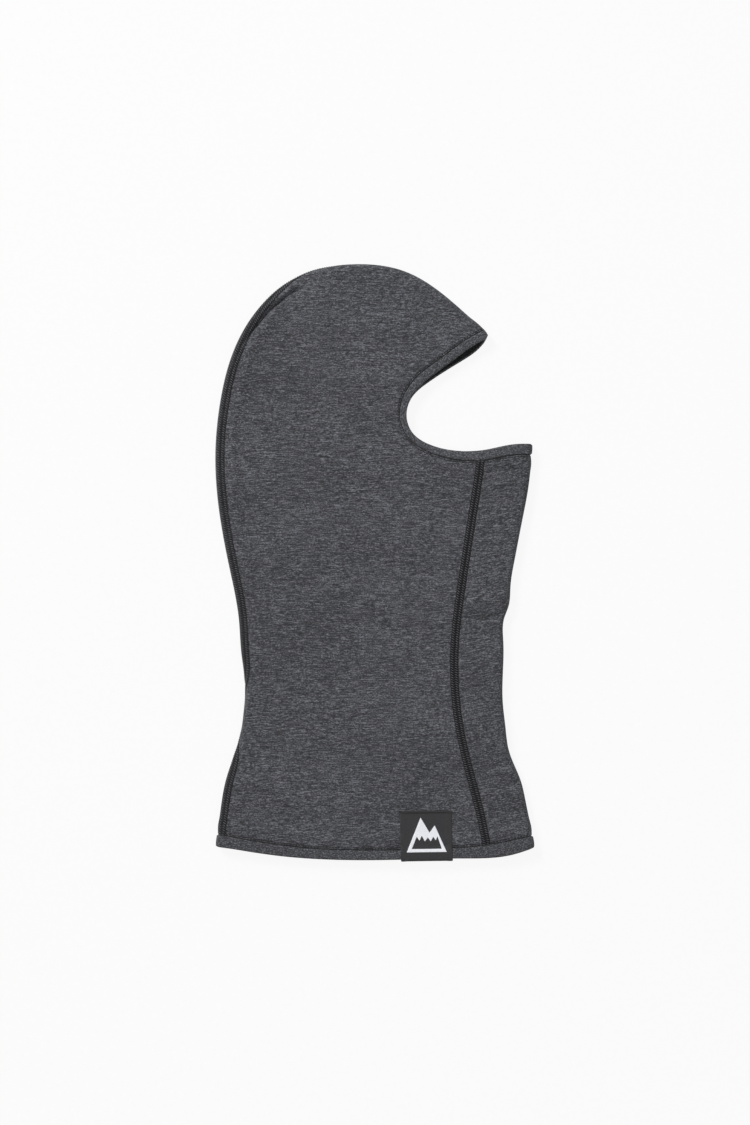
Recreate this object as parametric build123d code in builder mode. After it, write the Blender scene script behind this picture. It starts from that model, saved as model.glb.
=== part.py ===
from build123d import *
import os

# A close-fitting knitted balaclava that covers the head and neck, lying on its left side.
# +X points to the face, +Y to the crown of the head and +Z up from the table at Z = 0.
# The right half of the hood is on top and the left half lies on the table. The halves stay
# a little apart, as knitted cloth does when it is laid down and not pressed, so the hood is
# a flat sleeve with rounded folds, open at the neck and round the face.
# All sizes are in millimetres.

# Driving dimensions
CLOTH = 1.2  # one layer of knitted cloth
HALF_LOFT = 4.4  # from the middle plane to the outer face of the panels
BAND_SKIN = 0.6  # the doubled bands stand proud of the panels by this, outside and inside
BINDING_WIDTH = 7.5  # folded band round the face opening
SEAM_WIDTH = 6.6  # flatlock seam, across its threads
THREAD = 0.4  # how high the sewing threads lie on the cloth
STITCH_WIDTH = 0.6
STITCH_ROW = 1.3  # from a band's edge to its row of stitches
LOOPER_WIDTH = 3.0  # threads behind a row of stitches
LABEL_SIZE = (39.0, 37.1)
LABEL_CLOTH = 0.5
LABEL_TUCK = 18.0  # length of the label inside the hem
LABEL_CORNER = (18.8, -187.0)  # its top corner that is nearer the back of the neck
LABEL_TURN = 1.5  # degrees that it is sewn out of square
MOTIF_HEIGHT = 0.15

MIDDLE = HALF_LOFT + BAND_SKIN  # height of the middle plane, with the bands on the table
FOLD_RADIUS_CUT = 0.05  # leaves a narrow flat between the two fillets of a fold
TALL = 30.0  # taller than the whole part
FAR = 170.0  # outside the outline on every side
SAMPLES = 30

# Folds of the hood, seen from above. Each one runs on past the hem and the face opening,
# where the pieces are cut.
BACK_FOLD = [
    (-119.4, -240), (-119.4, -214), (-116.5, -187), (-111.5, -161), (-102.5, -134),
    (-97.8, -100), (-101.5, -52), (-109, -5), (-118, 47), (-120, 82), (-116.5, 120),
    (-106, 160), (-83, 197), (-50, 218.2), (-11, 224.6), (22, 219.8), (50, 204.5),
    (72, 185), (82, 174), (86, 166), (89, 150),
]
CHIN_FOLD = [
    (118.6, 112), (118, 88), (116.5, 64), (110, 29), (102, -20), (96.3, -70),
    (96, -104), (100.5, -141), (111, -171), (118, -203), (119.4, -214), (121, -240),
]
# Free edge of the hem and the seam above it.
HEM_EDGE = [
    (-140, -213), (-119, -214), (-92, -218), (-60, -222), (-5, -224), (65, -222.7),
    (105, -219.5), (119, -215), (140, -209),
]
HEM_SEAM = [
    (-140, -203), (-118.5, -204.7), (-95, -208.7), (-60, -213.8), (0, -216.4),
    (45, -215.4), (84, -212.4), (117, -206), (140, -202),
]
# Free edge of the face opening, from the forehead round the cheek to the chin. The left
# half's forehead lies a little lower than the right half's and shows beneath it.
CHEEK = [(24, 111), (28.5, 97.5), (41.9, 88.5), (62, 84), (84, 84.9), (104, 88.8), (118, 89.2), (135, 89)]
RIGHT_FACE_EDGE = [(100, 178.3), (84.8, 169), (74.1, 162.7), (56.8, 150.2), (39.5, 137.2), (28, 124.5), *CHEEK]
LEFT_FACE_EDGE = [(100, 180), (85, 168.2), (77.5, 160.8), (54.9, 145.5), (39.5, 135), (28, 124.2), *CHEEK]
# Middle of the two front flatlock seams, one on each half.
FRONT_SEAM = [
    (81, 92), (79, 72), (73.9, 38), (65.5, -16), (60.9, -52), (60, -88), (63.8, -124.5),
    (72, -160.6), (80.7, -195), (85.5, -222),
]
# The centre seam keeps the same distance from the back fold. It is on the right half, but
# for two stretches on the left half, at the waist and from the crown to the forehead.
CENTRE_SEAM_INSET = 4.1
WAIST_STRETCH = [(-150, -122.8), (-70, -145.3), (-70, -88.5), (-150, -92.7)]
CROWN_STRETCH = [(-68, 243.4), (-40, 184.8), (40, 160), (100, 120), (150, 120), (150, 243.4)]
# Where the centre seam passes over the fold, with the direction across the fold in degrees
CROSSINGS = [(-103.1, -136, -16), (-97.9, -90, 3), (-55, 216.2, 115.5)]
CROSSING_LENGTH = 12.0
# Twin-peak mark on the label, about its own middle.
MOUNTAIN = [(-15, -12), (-4, 14), (2.5, 2.5), (6.5, 8), (15, -12)]
BELOW_SNOW = [
    (-11.2, -9.6), (-7.2, -0.4), (-5.2, -3.4), (-3.4, 0.4), (-1.2, -4), (1.2, -1), (3.2, -4),
    (5.2, -0.6), (7, -3.4), (8.4, -0.2), (11.4, -9.6),
]


def moved_spline(points, distance):
    """A spline through the points, moved sideways to its left."""
    line = Spline(*points, mode=Mode.PRIVATE)
    moved = []
    for sample in range(SAMPLES + 1):
        place = sample / SAMPLES
        along = line % place
        moved.append(line @ place + Vector(-along.Y, along.X) * distance)
    return Spline(*moved)


def region(points, *corners, distance=0):
    """Flat region between a spline, moved sideways, and straight lines through the corners."""
    with BuildSketch() as flat:
        with BuildLine():
            edge = moved_spline(points, distance)
            Polyline(edge @ 1, *corners, edge @ 0)
        make_face()
    return flat.sketch


def strip(points, width, distance=0):
    """Flat strip of even width along a spline, moved sideways."""
    with BuildSketch() as flat:
        with BuildLine():
            left = moved_spline(points, distance + width / 2)
            right = moved_spline(points, distance - width / 2)
            Line(left @ 0, right @ 0)
            Line(left @ 1, right @ 1)
        make_face()
    return flat.sketch


def block(above=None, below=None):
    """Tall solid on one flat region above the middle plane and on another one below it."""
    with BuildPart() as tall:
        for flat, height in ((above, TALL), (below, -TALL)):
            if flat:
                with BuildSketch(Plane.XY.offset(MIDDLE)):
                    add(flat)
                extrude(amount=height)
    return tall.part


def face_side(distance):
    """Everything nearer the face than a line at this distance from the opening's edge."""
    corners = ((FAR, 89), (FAR, 180))
    above = region(RIGHT_FACE_EDGE, *corners, distance=-distance)
    below = region(LEFT_FACE_EDGE, *corners, distance=-distance)
    return block(above, below)


def hem_side(line, distance):
    """Everything below a line at this distance above the hem's edge or seam."""
    below_line = region(line, (FAR, -FAR - 90), (-FAR, -FAR - 90), distance=distance)
    return block(below_line, below_line)


def hood_form(skin):
    """The whole hood as a solid with rounded folds, its face this far outside the panels'."""
    half = HALF_LOFT + skin
    with BuildPart() as form:
        with BuildSketch(Plane.XY.offset(MIDDLE - half)):
            with BuildLine():
                back = moved_spline(BACK_FOLD, skin)
                chin = moved_spline(CHIN_FOLD, skin)
                Line(back @ 1, chin @ 0)
                Line(chin @ 1, back @ 0)
            make_face()
        extrude(amount=2 * half)
        long_edges = form.edges().filter_by(lambda edge: edge.length > FAR)
        folds = long_edges.filter_by(GeomType.LINE, reverse=True)
        fillet(folds, half - FOLD_RADIUS_CUT)
    return form.part


def layer(skin, thickness):
    """A layer of cloth or thread that goes all round the hood, with open ends."""
    with BuildPart() as sleeve:
        add(hood_form(skin))
        add(hood_form(skin - thickness), mode=Mode.SUBTRACT)
    return sleeve.part


def between_bands(sleeve, clearance):
    """The part of a layer between the face binding and the hem band."""
    with BuildPart() as cut:
        add(sleeve)
        add(face_side(BINDING_WIDTH + clearance), mode=Mode.SUBTRACT)
        add(hem_side(HEM_SEAM, clearance), mode=Mode.SUBTRACT)
    return cut.part


def write(piece, name):
    piece.part.label = name
    export_step(piece.part, f"parts/{name}.step")


os.makedirs("parts", exist_ok=True)

# Cloth panels
cloth = between_bands(layer(0, CLOTH), 0)
in_front = region(FRONT_SEAM, (FAR, -222), (FAR, 92))
front_block = block(in_front, in_front)
before_centre = region(BACK_FOLD, (FAR, 150), (FAR, -240), distance=-CENTRE_SEAM_INSET)

with BuildSketch() as on_left_half:
    Polygon(*WAIST_STRETCH, align=None)
    Polygon(*CROWN_STRETCH, align=None)

with BuildSketch() as right_above:
    add(before_centre)
    add(on_left_half.sketch)

with BuildSketch() as right_below:
    add(on_left_half.sketch)
    add(before_centre, mode=Mode.SUBTRACT)

right_block = block(right_above.sketch, right_below.sketch)

with BuildPart() as chin_panel:
    add(cloth)
    add(front_block, mode=Mode.INTERSECT)
write(chin_panel, "chin_panel")

with BuildPart() as right_side_panel:
    add(cloth)
    add(front_block, mode=Mode.SUBTRACT)
    add(right_block, mode=Mode.INTERSECT)
write(right_side_panel, "right_side_panel")

with BuildPart() as left_side_panel:
    add(cloth)
    add(front_block, mode=Mode.SUBTRACT)
    add(right_block, mode=Mode.SUBTRACT)
write(left_side_panel, "left_side_panel")

# Doubled bands
doubled = layer(BAND_SKIN, CLOTH + 2 * BAND_SKIN)

with BuildPart() as face_binding:
    add(doubled)
    add(face_side(BINDING_WIDTH), mode=Mode.INTERSECT)
    add(face_side(0), mode=Mode.SUBTRACT)
write(face_binding, "face_binding")

with BuildPart() as hem_band:
    add(doubled)
    add(hem_side(HEM_SEAM, 0), mode=Mode.INTERSECT)
    add(hem_side(HEM_EDGE, 0), mode=Mode.SUBTRACT)
write(hem_band, "hem_band")

# Flatlock seams, with cover threads outside and looper threads inside
outer_threads = layer(THREAD, THREAD)
inner_threads = layer(-CLOTH, THREAD)
cover_threads = between_bands(outer_threads, STITCH_ROW + STITCH_WIDTH)
looper_threads = between_bands(inner_threads, LOOPER_WIDTH + STITCH_WIDTH)
front_strip = strip(FRONT_SEAM, SEAM_WIDTH)
centre_strip = strip(BACK_FOLD, SEAM_WIDTH, -CENTRE_SEAM_INSET)

with BuildSketch() as crossings:
    for x, y, angle in CROSSINGS:
        with Locations(Location((x, y), angle)):
            Rectangle(CROSSING_LENGTH, SEAM_WIDTH)

with BuildSketch() as centre_above:
    add(centre_strip)
    add(on_left_half.sketch, mode=Mode.SUBTRACT)
    add(crossings.sketch)

with BuildSketch() as centre_below:
    add(centre_strip)
    add(on_left_half.sketch, mode=Mode.INTERSECT)
    add(crossings.sketch)

seams = {
    "right_front_seam": block(above=front_strip),
    "left_front_seam": block(below=front_strip),
    "centre_seam": block(centre_above.sketch, centre_below.sketch),
}
for name, seam_block in seams.items():
    with BuildPart() as seam_cover:
        add(cover_threads)
        add(seam_block, mode=Mode.INTERSECT)
    write(seam_cover, f"{name}_cover")

    with BuildPart() as seam_looper:
        add(looper_threads)
        add(seam_block, mode=Mode.INTERSECT)
    write(seam_looper, f"{name}_looper")

# The row of stitches beside each band, and the looper threads behind it
behind_row = LOOPER_WIDTH / 2 + STITCH_WIDTH / 2
rows = {
    "stitching": (outer_threads, STITCH_WIDTH, STITCH_ROW),
    "looper": (inner_threads, LOOPER_WIDTH, behind_row),
}
for name, (threads, width, distance) in rows.items():
    from_edge = BINDING_WIDTH + distance
    right_row = strip(RIGHT_FACE_EDGE, width, -from_edge)
    left_row = strip(LEFT_FACE_EDGE, width, -from_edge)
    hem_row = strip(HEM_SEAM, width, distance)

    with BuildPart() as face_row:
        add(threads)
        add(block(right_row, left_row), mode=Mode.INTERSECT)
    write(face_row, f"face_binding_{name}")

    with BuildPart() as hem_row_threads:
        add(threads)
        add(block(hem_row, hem_row), mode=Mode.INTERSECT)
    write(hem_row_threads, f"hem_{name}")

# Woven label, sewn flat on the right half and folded under the hem to its inside. It is
# drawn from the side, with the sketch's X along the hood's Y, and extruded to its width.
label_length = LABEL_SIZE[1]
panel_top = MIDDLE + HALF_LOFT
band_top = panel_top + BAND_SKIN
band_inside = band_top - CLOTH - 2 * BAND_SKIN
label_top = [
    (0, panel_top + LABEL_CLOTH),
    (-22, panel_top + LABEL_CLOTH),
    (-24.5, band_top + LABEL_CLOTH),
    (-label_length - LABEL_CLOTH, band_top + LABEL_CLOTH),
]
label_plane = Plane(origin=(*LABEL_CORNER, 0)).rotated((0, 0, LABEL_TURN))
side_plane = Plane(origin=(*LABEL_CORNER, 0), x_dir=label_plane.y_dir, z_dir=label_plane.x_dir)

with BuildPart() as label:
    with BuildSketch(side_plane):
        with BuildLine():
            Polyline(
                *label_top,
                (-label_length - LABEL_CLOTH, band_inside - LABEL_CLOTH),
                (-label_length + LABEL_TUCK, band_inside - LABEL_CLOTH),
                (-label_length + LABEL_TUCK, band_inside),
                (-label_length, band_inside),
                (-label_length, band_top),
                (-24.5, band_top),
                (-22, panel_top),
                (0, panel_top),
                close=True,
            )
        make_face()
    extrude(amount=LABEL_SIZE[0])
    across = label.edges().filter_by(Axis(label_plane.origin, label_plane.x_dir))
    outer_folds = across.sort_by(Axis(label_plane.origin, label_plane.y_dir))[:2]
    fillet(outer_folds, LABEL_CLOTH)
write(label, "label")

with BuildPart() as label_motif:
    with BuildSketch(side_plane):
        with BuildLine():
            raised = [(y, z + MOTIF_HEIGHT) for y, z in reversed(label_top)]
            Polyline(*label_top, *raised, close=True)
        make_face()
    extrude(amount=LABEL_SIZE[0])
    with BuildSketch(label_plane):
        with Locations((LABEL_SIZE[0] / 2, -label_length / 2)):
            Polygon(*MOUNTAIN, align=None)
            Polygon(*BELOW_SNOW, align=None, mode=Mode.SUBTRACT)
    extrude(amount=TALL, mode=Mode.INTERSECT)
write(label_motif, "label_motif")

with BuildPart() as label_stitching:
    with BuildSketch(label_plane.offset(label_top[0][1])):
        with Locations((LABEL_SIZE[0] / 2, -STITCH_ROW)):
            Rectangle(LABEL_SIZE[0] - 2 * STITCH_ROW, STITCH_WIDTH)
    extrude(amount=THREAD / 2)
write(label_stitching, "label_stitching")
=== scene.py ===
import math

import bpy
import numpy as np
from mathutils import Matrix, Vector
from mathutils.geometry import delaunay_2d_cdt


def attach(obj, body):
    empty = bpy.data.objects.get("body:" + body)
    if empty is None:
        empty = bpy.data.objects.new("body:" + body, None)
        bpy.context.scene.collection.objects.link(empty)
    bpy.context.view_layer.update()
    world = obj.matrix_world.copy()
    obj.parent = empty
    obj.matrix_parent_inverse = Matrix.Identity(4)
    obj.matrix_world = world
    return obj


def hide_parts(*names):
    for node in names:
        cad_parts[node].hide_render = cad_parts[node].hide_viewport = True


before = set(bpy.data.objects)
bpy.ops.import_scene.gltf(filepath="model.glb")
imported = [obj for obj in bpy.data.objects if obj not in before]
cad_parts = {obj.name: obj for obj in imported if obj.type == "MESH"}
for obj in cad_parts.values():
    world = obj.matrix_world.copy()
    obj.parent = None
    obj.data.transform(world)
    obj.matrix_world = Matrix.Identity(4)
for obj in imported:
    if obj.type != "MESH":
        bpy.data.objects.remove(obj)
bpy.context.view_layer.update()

# The hood lies on its left side. Shapes are worked out in millimetres, seen from above, and
# lifted onto the hood's rounded form. side is 1 for the right half, on top, and -1 for the
# left half, on the floor.
MM = 0.001
# Half the height of the plain form, which is also the radius of its folds, and its middle
HALF_LOFT = 4.4
MIDDLE = 5.0
CLOTH = 1.2
SEAM_WIDTH = 6.4

BACK_FOLD = [
    (-119.4, -240), (-119, -214), (-116.2, -187), (-111.3, -161), (-102, -134), (-98.2, -108),
    (-97, -95), (-100.1, -71), (-102.2, -44), (-109.2, -5), (-118.2, 47), (-120, 82), (-116.5, 120),
    (-106, 160), (-82.4, 196.8), (-50, 218.2), (-11, 224.6), (22, 219.4), (50, 203.1),
    (67.7, 188), (78.9, 178.3), (84, 173.4), (86, 168.5), (86.5, 160), (86.6, 150),
]
CHIN_FOLD = [
    (118.6, 112), (118, 88), (116.7, 64), (110.6, 29), (105.4, 2), (102.3, -18), (100.8, -33),
    (97.4, -42.5), (96.9, -60), (96.4, -104), (98.6, -125), (100.9, -141), (110.2, -165),
    (113.9, -181),
    (118.2, -203), (119.6, -214), (121, -240),
]
HEM_EDGE = [
    (-140, -213), (-119, -214), (-92, -218), (-60, -222), (-5, -224), (65, -222.7),
    (105, -219.5), (119, -215), (140, -209),
]
HEM_SEAM = [
    (-140, -203), (-118.5, -204.7), (-95, -208.7), (-60, -213.8), (0, -216.4),
    (45, -215.4), (84, -212.4), (117, -206), (140, -202),
]
CHEEK = [
    (24, 111), (28.5, 97.5), (41.9, 88.5), (62, 84), (84, 84.9), (104, 88.8), (118, 89.2),
    (135, 89),
]
RIGHT_FACE_EDGE = [
    (100, 178.6), (85, 168.9), (74.1, 162.7), (56.8, 150.2), (39.5, 137.2), (28, 124.5), *CHEEK,
]
LEFT_FACE_EDGE = [
    (100, 184), (85, 168.6), (78.2, 160.8), (66, 152), (54.9, 145.2), (39.5, 135),
    (28, 124.2), *CHEEK,
]
# Width of the face binding from the forehead round the cheek to the chin, as seen
BINDING_PLACES = [0.0, 0.3, 0.45, 0.55, 0.68, 0.8, 1.0]
BINDING_WIDTHS = [6.8, 7.0, 5.0, 4.8, 6.4, 7.8, 8.4]
FRONT_SEAM = [
    (81, 92), (79, 72), (73.9, 38), (65.5, -16), (60.9, -52), (60, -88), (63.8, -124.5),
    (72, -160.6), (80.7, -195), (85.5, -222),
]
# Where the centre seam goes over the back fold, and how gradually
CROSSINGS = [((-104, -138), 12), ((-97.8, -92), 12), ((-58, 213.5), 33)]
# How far over the fold the seam lies, in the neck and on the head, and where those are
SEAM_OVER = (5.5, 6.5)
OVER_HEIGHTS = (-80, 40)
# The mark on the label, about its own middle: two peaks, and the ground below their snow
MOUNTAIN = [(-15, -12), (-4, 14), (2.5, 2.5), (6.5, 8), (15, -12)]
BELOW_SNOW = [
    (-11.2, -9.6), (-7.2, -0.4), (-5.2, -3.4), (-3.4, 0.4), (-1.2, -4), (1.2, -1), (3.2, -4),
    (5.2, -0.6), (7, -3.4), (8.4, -0.2), (11.4, -9.6),
]


# ---------------- curves seen from above

# How many points are compared with a line at a time, to save memory
BATCH = 4000


def unit(vectors):
    return vectors / np.maximum(np.linalg.norm(vectors, axis=-1, keepdims=True), 1e-12)


def resampled(line, step):
    """The line with its points evenly spaced, about a step apart."""
    along = np.concatenate([[0], np.cumsum(np.linalg.norm(np.diff(line, axis=0), axis=1))])
    places = np.linspace(0, along[-1], max(2, int(round(along[-1] / step)) + 1))
    return np.stack([np.interp(places, along, line[:, axis]) for axis in range(line.shape[1])], 1)


def curve(points, step=0.5):
    """Evenly spaced points on a natural cubic spline through a few points."""
    knots = np.array(points, float)
    gaps = np.linalg.norm(np.diff(knots, axis=0), axis=1)
    at = np.concatenate([[0], np.cumsum(gaps)])
    count = len(knots)
    matrix = np.eye(count)
    bend = np.zeros((count, 2))
    for i in range(1, count - 1):
        matrix[i, i - 1:i + 2] = gaps[i - 1], 2 * (gaps[i - 1] + gaps[i]), gaps[i]
        slope_after = (knots[i + 1] - knots[i]) / gaps[i]
        bend[i] = 6 * (slope_after - (knots[i] - knots[i - 1]) / gaps[i - 1])
    bend = np.linalg.solve(matrix, bend)
    fine = np.arange(0, at[-1], 0.2)
    k = np.clip(np.searchsorted(at, fine, side="right") - 1, 0, count - 2)
    gap = gaps[k][:, None]
    after = (fine - at[k])[:, None]
    before = gap - after
    line = (bend[k] * before**3 + bend[k + 1] * after**3) / (6 * gap)
    line += (knots[k] / gap - bend[k] * gap / 6) * before
    line += (knots[k + 1] / gap - bend[k + 1] * gap / 6) * after
    return resampled(line, step)


def left_of(line):
    """Unit vectors to the left of a line, at each of its points."""
    along = unit(np.gradient(line, axis=0))
    return np.stack([-along[:, 1], along[:, 0]], 1)


def moved(line, distance):
    return line + left_of(line) * np.asarray(distance).reshape(-1, 1)


def crossing(line, other):
    """Where a line first crosses another: the two indices and the point."""
    a, b = line[:-1, None], line[1:, None]
    c, d = other[None, :-1], other[None, 1:]
    r, s = b - a, d - c
    turn = r[..., 0] * s[..., 1] - r[..., 1] * s[..., 0]
    turn = np.where(np.abs(turn) < 1e-12, 1e-12, turn)
    gap = c - a
    t = (gap[..., 0] * s[..., 1] - gap[..., 1] * s[..., 0]) / turn
    u = (gap[..., 0] * r[..., 1] - gap[..., 1] * r[..., 0]) / turn
    hits = np.argwhere((t >= 0) & (t < 1) & (u >= 0) & (u < 1))
    i, j = hits[0]
    return i, j, line[i] + t[i, j] * (line[i + 1] - line[i])


def between(line, first, last):
    """The stretch of a line from where it crosses one line to where it crosses another."""
    i, _, start = crossing(line, first)
    j, _, end = crossing(line, last)
    if i <= j:
        return np.vstack([start, line[i + 1:j + 1], end])
    return np.vstack([start, line[j + 1:i + 1][::-1], end])


def inside(polygon, points):
    """Which points lie inside a closed polygon."""
    polygon = np.asarray(polygon, float)
    x0, y0 = polygon[:, 0][None], polygon[:, 1][None]
    x1, y1 = np.roll(x0, -1, 1), np.roll(y0, -1, 1)
    rise = np.where(y1 == y0, 1, y1 - y0)
    found = np.empty(len(points), bool)
    for start in range(0, len(points), BATCH):
        x, y = points[start:start + BATCH].T[:, :, None]
        left = ((y0 > y) != (y1 > y)) & (x < x0 + (y - y0) * (x1 - x0) / rise)
        found[start:start + BATCH] = left.sum(1) % 2 == 1
    return found


def nearest_on(line, points):
    """Distance left of a line and distance along it, of each point's nearest place on it."""
    steps = np.linalg.norm(np.diff(line, axis=0), axis=1)
    lengths = np.concatenate([[0], np.cumsum(steps)])
    distance = np.empty(len(points))
    along = np.empty(len(points))
    for start in range(0, len(points), BATCH):
        part = points[start:start + BATCH]
        across = part[:, None, 0] - line[None, :, 0]
        up = part[:, None, 1] - line[None, :, 1]
        k = (across**2 + up**2).argmin(1)
        best = np.full(len(part), np.inf)
        place = np.zeros(len(part))
        for first in (k - 1, k):
            first = np.clip(first, 0, len(line) - 2)
            edge = line[first + 1] - line[first]
            t = ((part - line[first]) * edge).sum(1) / (edge**2).sum(1)
            t = np.clip(t, 0, 1)
            off = part - line[first] - t[:, None] * edge
            gap = np.linalg.norm(off, axis=1)
            turn = edge[:, 0] * off[:, 1] - edge[:, 1] * off[:, 0]
            closer = gap < np.abs(best)
            best = np.where(closer, np.where(turn < 0, -gap, gap), best)
            place = np.where(closer, lengths[first] + t * steps[first], place)
        distance[start:start + BATCH] = best
        along[start:start + BATCH] = place
    return distance, along


def distance_to(line, points):
    return np.abs(nearest_on(line, points)[0])


back_fold = curve(BACK_FOLD)
chin_fold = curve(CHIN_FOLD)
fold_points = np.vstack([back_fold, chin_fold])
fold_inward = np.vstack([-left_of(back_fold), -left_of(chin_fold)])
hem_edge = curve(HEM_EDGE)
hem_seam = curve(HEM_SEAM)
front_seam = curve(FRONT_SEAM)


def trimmed(line):
    """The stretch of a line from the back fold to the chin fold."""
    return resampled(between(line, back_fold, chin_fold), 0.5)


def meeting(line, other, lead=0.12):
    """The line with its two ends led to the ends of another, without a corner."""
    along = np.linspace(0, 1, len(line))[:, None]
    at_start = np.clip(1 - along / lead, 0, 1) ** 2
    at_end = np.clip(1 - (1 - along) / lead, 0, 1) ** 2
    return line + (other[0] - line[0]) * at_start + (other[-1] - line[-1]) * at_end


def binding_seam(edge):
    """The line where the face binding joins the cloth."""
    places = np.linspace(0, 1, len(edge))
    seam = moved(edge, -np.interp(places, BINDING_PLACES, BINDING_WIDTHS))
    # The line runs straight on at both ends, to be sure to cross the folds.
    run_on = np.arange(1, 13)[:, None]
    start = (seam[0] + (seam[0] - seam[4]) / 4 * run_on)[::-1]
    end = seam[-1] + (seam[-1] - seam[-5]) / 4 * run_on
    return trimmed(np.vstack([start, seam, end]))


hem_edge = trimmed(hem_edge)
hem_seam = trimmed(hem_seam)
right_edge = trimmed(curve(RIGHT_FACE_EDGE))
left_edge = meeting(trimmed(curve(LEFT_FACE_EDGE)), right_edge)
face_edges = {1: right_edge, -1: left_edge}
face_seams = {1: binding_seam(right_edge)}
face_seams[-1] = meeting(binding_seam(left_edge), face_seams[1])


# ---------------- the hood's rounded form

# The corner at the tip of the forehead points this way. It is blunted over a length, and the
# softness is how evenly that is spread.
TIP_OUTWARD = np.array([0.96, -0.28])
TIP_BLUNT = 2.0
TIP_SOFTNESS = 0.8
TIP_REACH = 12


def blunted(points):
    """How far points near the tip of the forehead are drawn in, to round its corner."""
    from_tip = points - right_edge[0]
    past = np.clip(from_tip @ TIP_OUTWARD + TIP_BLUNT, 0, TIP_BLUNT)
    drawn_in = past - TIP_SOFTNESS * (1 - np.exp(-past / TIP_SOFTNESS))
    return np.where(np.linalg.norm(from_tip, axis=1) < TIP_REACH, drawn_in, 0)


def smooth_step(value, low, high):
    t = np.clip((value - low) / (high - low), 0, 1)
    return t * t * (3 - 2 * t)


def fold_distance(points):
    """Distance inside the nearest fold, and the direction away from the fold."""
    distance = np.empty(len(points))
    inward = np.empty((len(points), 2))
    for start in range(0, len(points), BATCH):
        part = points[start:start + BATCH]
        nearest = ((part[:, None] - fold_points[None]) ** 2).sum(2).argmin(1)
        away = fold_inward[nearest]
        inward[start:start + BATCH] = away
        distance[start:start + BATCH] = ((part - fold_points[nearest]) * away).sum(1)
    return distance, inward


def line_bump(points, stops, height, width):
    """A soft ridge, or a groove if height is negative, along a short line, with faded ends."""
    line = resampled(np.array(stops, float), 0.5)
    square = ((points[:, None] - line[None]) ** 2).sum(2)
    nearest = square.argmin(1)
    along = nearest / (len(line) - 1)
    fade = np.sin(np.pi * np.clip(along * 0.94 + 0.03, 0, 1)) ** 0.7
    return height * fade * np.exp(-square.min(1) / width**2)


def soft_noise(points, size, seed):
    """Smooth random relief from -1 to 1, as a sum of plane waves of about one size."""
    waves = np.random.default_rng(seed)
    total = np.zeros(len(points))
    for _ in range(14):
        turn = waves.uniform(0, 2 * np.pi)
        length = size * waves.uniform(0.7, 1.5)
        phase = waves.uniform(0, 2 * np.pi)
        along = points @ np.array([math.cos(turn), math.sin(turn)])
        total += np.sin(2 * np.pi * along / length + phase)
    return total / 5


# The creases that are fine enough to need rows of the mesh along them
PUCKER = [
    (-99, 164), (-91.5, 174), (-84.8, 182.5), (-78, 190), (-70, 196.5), (-62, 203),
    (-53, 206.5),
]
CHIN_CREASE = [(67, -41), (84, -43), (101, -38)]
THROAT_CREASE = [(80.5, 65.5), (94, 70), (110, 69.5)]
FINE_CREASES = [PUCKER, CHIN_CREASE, THROAT_CREASE]
# Creases of the right half: a line, the height and the width of the crease
CREASES = [
    (PUCKER, -2.6, 1.1),
    ([(-93, 178), (-82, 192), (-73, 198.5), (-64, 205.5), (-57, 209)], 1.2, 1.3),
    ([(-63, 202.5), (-55, 204.5)], -1.5, 2.6),
    ([(-88, 172), (-74, 188), (-60, 198)], 0.45, 3.5),
    ([(-98, 166), (-103.5, 140), (-104.5, 112), (-103, 92)], -0.6, 2.4),
    (CHIN_CREASE, -2.2, 2.6),
    ([(68, -28), (84, -30), (99, -25)], 1.3, 4.6),
    (THROAT_CREASE, -2.0, 3.2),
    ([(86, 57), (98, 60), (112, 58)], 0.8, 4.0),
    ([(90, 79), (103, 79), (116, 78)], 0.8, 2.6),
    ([(113, -163), (104, -168), (94, -169)], -1.9, 3.2),
    ([(111, -152), (103, -156), (94, -157)], 1.0, 3.4),
    ([(54, -148), (40, -160), (26.5, -176)], -0.9, 3.6),
    ([(47, -142), (32, -155), (18, -172)], 0.7, 4.5),
    ([(100, -88), (90, -86), (80, -87)], -0.6, 2.6),
    ([(-60, 20), (-84, 10), (-100, 2)], 0.3, 4.5),
    ([(-50, -120), (-75, -118), (-98, -116)], -0.35, 4.0),
]
# Creases of the left half
LEFT_CREASES = [
    ([(72, -38), (84, -39.5), (99, -34)], -0.7, 3.2),
    ([(82, 73), (94, 76.5), (108, 75)], -0.7, 2.6),
    ([(30, 180), (0, 150), (-20, 110)], -0.5, 6.0),
    ([(-90, 60), (-50, 40), (-10, 34)], -0.5, 5.0),
    ([(40, -60), (0, -90), (-50, -104)], -0.6, 6.0),
]


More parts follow.
